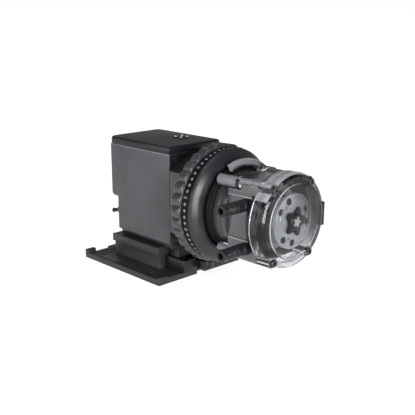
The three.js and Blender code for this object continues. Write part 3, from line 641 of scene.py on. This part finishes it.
def fluted(count, depth, top):
    """Grip flutes on the part of a turned piece that is at least top in radius."""
    def radius_at(radius, y, angle):
        return radius - depth * (0.5 + 0.5 * math.cos(count * angle)) if radius >= top - 0.01 else radius
    return radius_at


add_bracket_and_box()


# ---- feed-rate dial ----

LOBES = 30
GRIP = {"rear": -91.7, "front": -104.0, "root": 61.9, "tip": 65.2}
BAND = {"r": 61.0, "front": -114.8}
MARK_STEP = 6.4  # degrees between neighbouring marks
MARK_START = 3.6
NUMERALS = 11  # 0 to 10
MARKS_PER_NUMERAL = 5
DOT_R = 1.6
NUMERAL_HEIGHT = 6.8
MARK_RELIEF = 0.4
DIAL_FACE = [(62.6, -116.4), (59.8, -119.3), (54.8, -122.5), (49.9, -124.0)]


def lobe_radius(radius, y, angle):
    """Rounded finger grips: wide humps with narrow valleys, round at both ends."""
    if radius < GRIP["root"]:
        return radius
    hump = abs(math.cos(LOBES * angle / 2)) ** 0.7
    return GRIP["root"] + (radius - GRIP["root"]) * hump


def add_dial():
    rear, front, tip = GRIP["rear"], GRIP["front"], GRIP["tip"]
    grip = [(GRIP["root"], rear), (tip - 0.9, rear), (tip, rear - 1.2)]
    grip += [(tip, rear - 1.2 + (front - rear + 3.2) * i / 6) for i in range(1, 7)]
    grip += [(tip - 0.5, front + 0.8), (tip - 1.6, front + 0.15), (GRIP["root"], front)]
    body = [(57, rear)] + grip + rounded(
        [(BAND["r"] + 0.6, front - 0.1), (BAND["r"], front - 0.6), (BAND["r"], BAND["front"]), *DIAL_FACE,
         (47.2, -124.0), (47.2, -112)], 1.6, 4, closed=False) + [(57, -112)]
    ring = turned(body, LOBES * 16, radius_at=lobe_radius)
    dial = piece("dial_ring_look", ring, "dial", "dial_plastic", "dial_ring", smooth=40)
    paint(dial, (GRIP_GREY, lambda centre, normal: front - 0.2 < centre.y < rear + 0.1),
          (FRAME_BLACK, lambda centre, normal: BAND["front"] < centre.y < front - 0.2))
    add_dial_marks()


def wrapped(bm, angle, radius, y):
    """Bends a flat drawing, x across and y up, onto the band."""
    for vert in bm.verts:
        turn = angle + vert.co.x / radius
        r = radius + vert.co.z
        vert.co = Vector((r * math.cos(turn), y + vert.co.y, AXIS_Z + r * math.sin(turn)))


def numeral(text, height):
    """A raised numeral as a closed bmesh, centred on the origin."""
    data = bpy.data.curves.new("numeral", "FONT")
    data.body = text
    data.size = height
    data.align_x, data.align_y = "CENTER", "CENTER"
    data.extrude = MARK_RELIEF
    data.resolution_u = 4
    obj = bpy.data.objects.new("numeral", data)
    bpy.context.scene.collection.objects.link(obj)
    bpy.context.view_layer.update()
    done = obj.evaluated_get(bpy.context.evaluated_depsgraph_get())
    bm = bmesh.new()
    bm.from_mesh(done.to_mesh())
    done.to_mesh_clear()
    bpy.data.objects.remove(obj)
    bpy.data.curves.remove(data)
    bmesh.ops.remove_doubles(bm, verts=bm.verts, dist=0.001)
    return bm


def dot(radius, height):
    bm = bmesh.new()
    bmesh.ops.create_uvsphere(bm, u_segments=16, v_segments=8, radius=radius)
    bmesh.ops.scale(bm, vec=(1, 1, height / radius), verts=bm.verts)
    return bm


def add_dial_marks():
    """Settings 0 to 10 round the band, with four dots between neighbours."""
    marks = []
    middle = (GRIP["front"] + BAND["front"]) / 2 + 0.6
    for i in range(MARKS_PER_NUMERAL * (NUMERALS - 1) + 1):
        angle = math.radians(MARK_START + MARK_STEP * i)
        if i % MARKS_PER_NUMERAL:
            bm = dot(DOT_R, MARK_RELIEF)
        else:
            bm = numeral(str(i // MARKS_PER_NUMERAL), NUMERAL_HEIGHT)
            bmesh.ops.rotate(bm, matrix=Matrix.Rotation(math.pi, 3, "Y"), verts=bm.verts)
        wrapped(bm, angle, BAND["r"], middle)
        marks.append(bm)
    piece("dial_marks", joined(*marks), "dial", "nylon", material=MARK_AND_SHADE_GREY, smooth=30)


add_dial()


# ---- outer frame and drum ----


def add_frame_and_drum():
    groove = [(44.6, -124.4), (44.4, -125.2), (43.6, -125.6), (43.6, -126.4), (44.4, -126.8),
              (44.3, -127.6)]
    outline = [(43.8, -91.6), (46.6, -91.6), (46.6, -119.2)] + groove
    outline += [(41.8, -128.4), (41.6, -130.6), (SHAFT_CLEAR_R, -130.6), (SHAFT_CLEAR_R, -124.6),
                (12, -124.6), (14, -127.2), (38, -127.2), (43.8, -121.6)]
    piece("outer_frame_look", turned(rounded(outline, 0.5, 3), 144), "pump", "dial_plastic", "outer_frame",
          material=FRAME_BLACK)
    drum = [(37.4, -130.9), (41, -130.9), (41, -138.2), (40.7, -138.5), (40.7, -139.1), (41, -139.4),
            (41, -147.4), (9.3, -147.4), (9.3, -144.4), (37.4, -144.4)]
    piece("head_drum_look", turned(rounded(drum, 0.4, 3), 144), "pump", "drum_plastic", "head_drum")


add_frame_and_drum()


# ---- pump head ----

BOLT_ENDS = {COLUMN_X: -134.4, INNER_COLUMN_X: -150.8}
CORNERS = [(x, AXIS_Z + level * COLUMN_RISE, rear) for x, rear in BOLT_ENDS.items() for level in (-1, 1)]


def from_axis(centre):
    return math.hypot(centre.x, centre.z - AXIS_Z)


def beside_drum(centre, normal):
    """Rear part of the block, which reaches back over the drum."""
    return centre.y > -147.5


def on_column(centre, normal):
    """The upper left column where the block is cut back round it."""
    return centre.y > -166.1 and centre.z > AXIS_Z + 29 and abs(centre.x - COLUMN_X) < 7.2


def on_collar(centre, normal):
    """Black band round that column."""
    return on_column(centre, normal) and -162.2 < centre.y < -157.8 and normal.z < 0.75


def on_column_crest(centre, normal):
    """Top of the same column where it runs on along the block."""
    return -181 < centre.y < -166.2 and centre.x < -25 and centre.z > AXIS_Z + 38 and normal.z > 0.5


# The flange behind the cover is painted black except at its top, as painted shade.
def on_flange(centre, normal):
    return centre.y < -180.9 and from_axis(centre) > 38 and centre.z < AXIS_Z + 28


def on_lip(centre, normal):
    """Curved lip over the drum, painted a lighter grey as a painted highlight."""
    return beside_drum(centre, normal) and from_axis(centre) > 46 and centre.x < 24


# Front face of the lip, painted darker as painted shade.
def on_lip_face(centre, normal):
    return on_lip(centre, normal) and normal.y < -0.7


def on_rib(centre, normal):
    """Two ribs along the side of the block, painted a lighter grey as painted highlights."""
    off_rib = min(abs(centre.z - 115.3), abs(centre.z - 70.4))
    return centre.x < -36.9 and centre.y < -149 and off_rib < 1.4


def add_head():
    housing = refine("tube_housing", 0.3)
    paint(housing, (LOOKS["clear_plastic"], beside_drum), (COLUMN_BRIGHT, on_column),
          (LOOKS["black_plastic"], on_collar), (COLUMN_BRIGHT, on_column_crest), (HIGHLIGHT_GREY, on_lip),
          (MARK_AND_SHADE_GREY, on_lip_face), (HIGHLIGHT_GREY, on_rib), (LOOKS["black_plastic"], on_flange))
    add_cover()
    add_fittings()
    add_rotor()


def on_shaded_cover_ring(centre, normal):
    """Thick outer ring of the cover's face, tinted dark as painted shade, except at the top and bottom."""
    on_ring = from_axis(centre) > 38.9 and centre.y < -198.5
    return on_ring and abs(centre.z - AXIS_Z) < 31 and centre.x < COVER_R


def on_cover_ring_open_side(centre, normal):
    """The part of that ring with nothing but air behind it, tinted darker still as painted shade."""
    return on_shaded_cover_ring(centre, normal) and centre.x > 12


# Upward faces of the cover's top: a paler, less clear finish as painted light, so the top reads lighter.
def on_cover_top(centre, normal):
    on_wall = from_axis(centre) > 45 and centre.y > -203
    return on_wall and centre.z > AXIS_Z + 26 and normal.z > 0.4


def on_cover_tab(centre, normal):
    return centre.x > 49.3


def add_cover():
    """Clear cover with two ridges on its face, four screw lugs and a side tab."""
    r, face = COVER_R, COVER_FACE
    rim = [(r - 3, -187.3), (r, -187.3), (r, -191.5), (r - 0.8, -192.2), (r - 0.8, -193.4), (r, -194.1),
           (r, -199), (r - 1.4, -202.6), (r - 4, -204.6), (r - 7, face)]
    ridge = [(38.6, face), (38.2, -206.5), (36.6, -206.5), (36.2, face)]
    small_ridge = [(24, face), (23.4, -205.6), (22.2, -205.6), (21.6, face)]
    back = [(8.3, face), (8.3, -202), (r - 7, -202), (r - 3, -199)]
    steps = []
    for x, z, _ in CORNERS:
        lug = rounded([(0, -187.3), (6, -187.3), (6, -202.6), (0, -202.6)], 0.5, 3, closed=False)
        steps.append(("UNION", turned(lug, 40, (x, z))))
    tab = slab(46.8, 50.6, -203, -197, 75.6, 100.7, 0.6)
    steps.append(("UNION", tab))
    for x, z, _ in CORNERS:
        shank = [(0, -180), (2.4, -180), (2.4, -204), (0, -204)]
        seat = [(0, -202.6), (4.3, -202.6), (4.3, -207), (0, -207)]
        steps.append(("DIFFERENCE", turned(shank, 24, (x, z))))
        steps.append(("DIFFERENCE", turned(seat, 32, (x, z))))
    shell = turned(rounded(rim + ridge + small_ridge + back, 0.4, 3), 144)
    cover = piece("head_cover_look", combined(shell, *steps), "pump", "clear_plastic", "head_cover",
                  material=COVER_CLEAR, smooth=32)
    # The ring's sides get dark tints as painted shade and the top faces a paler finish as painted light.
    paint(cover, (SMOKED_AND_SHADED_CLEAR, on_shaded_cover_ring), (DARK_CLEAR, on_cover_ring_open_side),
          (LIGHTENED_TOP_CLEAR, on_cover_top), (LOOKS["black_plastic"], on_cover_tab))
    add_head_bolts()
    add_cover_bushing()


def add_head_bolts():
    """Socket-head bolts through the cover's lugs."""
    for i, (x, z, rear) in enumerate(CORNERS):
        head = rounded([(0, rear), (2, rear), (2, -202.9), (3.9, -202.9), (3.9, -206.1), (0, -206.1)],
                       0.5, 3, closed=False)
        socket = prism(circle(x, z, 1.7, 6), -204.4, -207)
        bolt = combined(turned(head, 32, (x, z)), ("DIFFERENCE", socket))
        piece(f"head_bolt_{i + 1}_look", bolt, "pump", "steel", f"head_bolt_{i + 1}", material=DARK_STEEL)


def petals(count, sides, reach, swing):
    """Outline round the main axis that swells and shrinks count times."""
    points = []
    for i in range(sides):
        turn = 2 * math.pi * i / sides
        radius = reach + swing * math.cos(count * turn)
        points.append((radius * math.cos(turn), AXIS_Z + radius * math.sin(turn)))
    return points


def add_cover_bushing():
    """Hub of the cover with a raised star, and the boss moulded round it."""
    bushing = [(0, -206.2), (SHAFT_CLEAR_R, -206.2), (SHAFT_CLEAR_R, -201.9), (8, -201.9), (8, -206.6),
               (6.8, -207.4), (0, -207.4)]
    piece("cover_bushing_look", turned(rounded(bushing, 0.4, 3, closed=False), 48), "pump", "black_plastic",
          "cover_bushing")
    piece("bushing_star", prism(petals(5, 60, 4.3, 1.3), -207.45, -208.0), "pump", "nylon",
          material=MARK_AND_SHADE_GREY)
    opening = prism(circle(0, AXIS_Z, 8.4, 48), -204, -208)
    boss = prism(petals(5, 120, 13, 2.6), -205.05, -206.2, bevel=0.3)
    piece("bushing_boss", combined(boss, ("DIFFERENCE", opening)), "pump", "black_plastic",
          material=SMOKED_AND_SHADED_CLEAR)


def add_fittings():
    """Grip nut and ribbed connector of each port, turned along X."""
    for name, offset in PORT_OFFSETS.items():
        place = (LOOP_Y, AXIS_Z + offset)
        nut = rounded([(5, -36.8), (6.4, -36.8), (6.4, -44.4), (5.7, -44.9), (5.7, -45.7), (6.4, -46.2),
                       (6.4, -53.7), (5.6, -54.5), (5, -54.5)], 0.3, 2)
        piece(f"{name}_nut_look", turned(nut, 96, place, fluted(16, 0.5, 6.3), "x"), "pump",
              "black_plastic", f"{name}_nut", smooth=50)
        barrel = [(3.4, -54.8), (5.9, -54.8)]
        for i in range(6):
            x = -55.8 - 2.2 * i
            barrel += [(6.1, x), (6.1, x - 1.2), (5.6, x - 1.6), (5.6, x - 1.9)]
        barrel += [(6.1, -69.2), (6.1, -72.7), (5.4, -73.5), (3.4, -73.5)]
        piece(f"{name}_connector_look", turned(rounded(barrel, 0.25, 2), 64, place, None, "x"), "pump",
              "black_plastic", f"{name}_connector")


ROLLERS = 3
ROLLER_ORBIT = 18.7
ROLLER_START = 8  # degrees from +X to the first roller
PAIR_TURN = 0.16  # from a roller pin to the holes beside it, in steps between rollers
PAIR_ORBIT = 22.2
PAIR_HOLE_R = 3.6


def roller_place(i, orbit=ROLLER_ORBIT):
    angle = math.radians(i * 360 / ROLLERS + ROLLER_START)
    return orbit * math.cos(angle), AXIS_Z + orbit * math.sin(angle)


def pair_places():
    """Middles of the paired holes in the front carrier plate."""
    return [roller_place(i + turn, PAIR_ORBIT) for i in range(ROLLERS) for turn in (-PAIR_TURN, PAIR_TURN)]


def in_carrier_hole(centre, normal):
    """Inside one of the paired holes of the front carrier plate, or in its middle well: painted black as
    painted shade.
    """
    if centre.y > -195 and from_axis(centre) < 9:
        return True
    if centre.y > -198 or (centre.y < -200.8 and normal.y < -0.5):
        return False
    return min(math.hypot(centre.x - x, centre.z - z) for x, z in pair_places()) < PAIR_HOLE_R + 0.1


def add_rotor():
    """Roller carrier with its dished front plate, the rollers and the hub nut."""
    bore = SHAFT_CLEAR_R
    plate = [(bore, -189.7), (9.6, -189.7), (9.6, -197.6), (28.5, -197.6), (28.5, -201.4), (26.4, -201.4),
             (26, -200.9), (25, -200.9), (24.6, -201.4), (7.8, -201.4), (7.8, -193.5), (bore, -193.5)]
    cuts = []
    for i in range(ROLLERS):
        cuts.append(("DIFFERENCE", prism(circle(*roller_place(i), 2.5), -195, -203)))
        for place in pair_places()[2 * i:2 * i + 2]:
            cuts.append(("DIFFERENCE", prism(circle(*place, PAIR_HOLE_R), -198.4, -203)))
    plate = turned(rounded(plate, 0.25, 2), 96)
    carrier = piece("carrier_front_look", combined(plate, *cuts), "shaft", "nylon", "carrier_front",
                    material=CARRIER_GREY)
    paint(carrier, (LOOKS["black_plastic"], in_carrier_hole))
    refine("roller_carrier", 0.3)
    for i in range(ROLLERS):
        name = f"roller_{i + 1}"
        barrel = rounded([(2.5, -163), (8.5, -163), (8.5, -197), (2.5, -197)], 0.9, 4)
        piece(f"{name}_look", turned(barrel, 48, roller_place(i)), name, "nylon", name)
    nut = prism(circle(0, AXIS_Z, 7.2, 12), -193.8, -198.4, bevel=0.3)
    opening = prism(circle(0, AXIS_Z, bore), -190, -200)
    piece("hub_nut_look", combined(nut, ("DIFFERENCE", opening)), "shaft", "black_plastic", "hub_nut")
    add_tube()


def add_tube():
    """The elastic tube as a swept pipe along the route of the CAD tube."""
    loop_r, tube_r, bore_r = 32, 4.5, 2.6
    inlet, outlet = PORT_OFFSETS["inlet"], PORT_OFFSETS["outlet"]
    route = [(-50, inlet), (-42, inlet), (-33.5, inlet)]
    for degrees in range(138, -108, -10):
        angle = math.radians(degrees)
        route.append((loop_r * math.cos(angle), loop_r * math.sin(angle)))
    route += [(-18, outlet - 1), (-25, outlet - 0.2), (-33.5, outlet), (-42, outlet), (-50, outlet)]
    bm = bmesh.new()
    sides = 20
    rings = []
    for i, (x, z) in enumerate(route):
        before, after = Vector(route[max(i - 1, 0)]), Vector(route[min(i + 1, len(route) - 1)])
        along = (after - before).normalized()
        across = Vector((-along.y, along.x))
        ring = []
        for radius in (tube_r, bore_r):
            for k in range(sides):
                turn = 2 * math.pi * k / sides
                a, b = radius * math.cos(turn), radius * math.sin(turn)
                ring.append(bm.verts.new((x + across.x * a, LOOP_Y + b, AXIS_Z + z + across.y * a)))
        rings.append(ring)
    for first, second in zip(rings, rings[1:]):
        for base in (0, sides):
            for k in range(sides):
                j = (k + 1) % sides
                bm.faces.new((first[base + k], second[base + k], second[base + j], first[base + j]))
    for ring in (rings[0], rings[-1]):
        for k in range(sides):
            j = (k + 1) % sides
            bm.faces.new((ring[k], ring[j], ring[sides + j], ring[sides + k]))
    bmesh.ops.recalc_face_normals(bm, faces=bm.faces)
    piece("pump_tube_look", bm, "pump", "tube_rubber", "pump_tube", smooth=60)


add_head()


# ---- light and floor ----


DARK_SIDE = (0.2, -0.98, 0)  # the studio is dim in front of the pump head
FLOOR_REACH = 40  # metres from the middle to each side


def add_world():
    """White at the horizon and grey overhead, and dimmed on one side above the horizon."""
    world = bpy.data.worlds.new("studio")
    bpy.context.scene.world = world
    world.use_nodes = True
    tree = world.node_tree
    place = tree.nodes.new("ShaderNodeTexCoord").outputs["Generated"]
    split = tree.nodes.new("ShaderNodeSeparateXYZ")
    tree.links.new(place, split.inputs[0])
    ramp = tree.nodes.new("ShaderNodeValToRGB")
    tree.links.new(split.outputs["Z"], ramp.inputs[0])
    stops = ramp.color_ramp.elements
    stops[0].position, stops[0].color = 0.0, (1, 1, 1, 1)
    stops[1].position, stops[1].color = 1.0, (0.25, 0.25, 0.26, 1)
    for position, level in ((0.04, 1.0), (0.12, 0.32), (0.5, 0.22)):
        stops.new(position).color = (level, level, level * 1.02, 1)
    facing = tree.nodes.new("ShaderNodeVectorMath")
    facing.operation = "DOT_PRODUCT"
    tree.links.new(place, facing.inputs[0])
    facing.inputs[1].default_value = DARK_SIDE
    shade = tree.nodes.new("ShaderNodeMapRange")
    shade.interpolation_type = "SMOOTHSTEP"
    tree.links.new(facing.outputs["Value"], shade.inputs["Value"])
    for key, number in (("From Min", 0.35), ("From Max", 0.8), ("To Min", 1.0), ("To Max", 0.12)):
        shade.inputs[key].default_value = number
    rise = tree.nodes.new("ShaderNodeMapRange")
    tree.links.new(split.outputs["Z"], rise.inputs["Value"])
    for key, number in (("From Min", 0.03), ("From Max", 0.08)):
        rise.inputs[key].default_value = number
    above = tree.nodes.new("ShaderNodeMix")
    above.inputs[2].default_value = 1.0  # full light at the horizon
    tree.links.new(rise.outputs["Result"], above.inputs[0])
    tree.links.new(shade.outputs["Result"], above.inputs[3])
    dimmed = tree.nodes.new("ShaderNodeVectorMath")
    dimmed.operation = "SCALE"
    tree.links.new(ramp.outputs["Color"], dimmed.inputs[0])
    tree.links.new(above.outputs[0], dimmed.inputs["Scale"])
    tree.links.new(dimmed.outputs["Vector"], tree.nodes["Background"].inputs["Color"])
    tree.nodes["Background"].inputs["Strength"].default_value = 1.0


def add_light(name, place, target, size, power):
    data = bpy.data.lights.new(name, "AREA")
    data.shape = "RECTANGLE"
    data.size, data.size_y = size
    data.energy = power
    light = bpy.data.objects.new(name, data)
    aim = Vector(target) - Vector(place)
    light.matrix_world = Matrix.Translation(place) @ aim.to_track_quat("-Z", "Y").to_matrix().to_4x4()
    bpy.context.scene.collection.objects.link(light)


def add_floor():
    """Wide pale floor that glows a little, so that shadows on it stay faint."""
    bm = bmesh.new()
    bmesh.ops.create_grid(bm, x_segments=4, y_segments=4, size=FLOOR_REACH)
    mesh = bpy.data.meshes.new("floor")
    bm.to_mesh(mesh)
    bm.free()
    floor = bpy.data.objects.new("floor", mesh)
    bpy.context.scene.collection.objects.link(floor)
    s = Surface("floor")
    shade = s.mix(s.spread(s.noise(3, 2), 0, 1), (0.38, 0.38, 0.38), (0.40, 0.40, 0.40))
    s.shader.inputs["Emission Color"].default_value = (1, 1, 1, 1)
    s.shader.inputs["Emission Strength"].default_value = 0.85
    mesh.materials.append(s.set(colour=shade, roughness=s.spread(s.noise(6), 0.6, 0.7)))


def add_sun(direction, strength, spread):
    data = bpy.data.lights.new("sun", "SUN")
    data.energy = strength
    data.angle = math.radians(spread)
    sun = bpy.data.objects.new("sun", data)
    sun.matrix_world = Vector(direction).to_track_quat("-Z", "Y").to_matrix().to_4x4()
    bpy.context.scene.collection.objects.link(sun)


add_world()
add_sun(direction=(0.25, 0.2, -1), strength=1.0, spread=60)
add_light("key", place=(-1.35, 0.25, 0.45), target=(0, -0.08, 0.08), size=(1.2, 0.8), power=8)
add_light("strip", place=(-0.48, -1.3, 0.24), target=(0, -0.1, 0.09), size=(0.45, 0.7), power=26)
add_floor()
bpy.context.scene.view_settings.view_transform = "Standard"

# CAD pieces that stay visible get the finish of their slot
for node_name, node_object in frame["nodes"].items():
    look = LOOKS.get(SLOT_OF.get(node_name))
    if look and not node_object.hide_render:
        for index in range(len(node_object.data.materials)):
            node_object.data.materials[index] = look
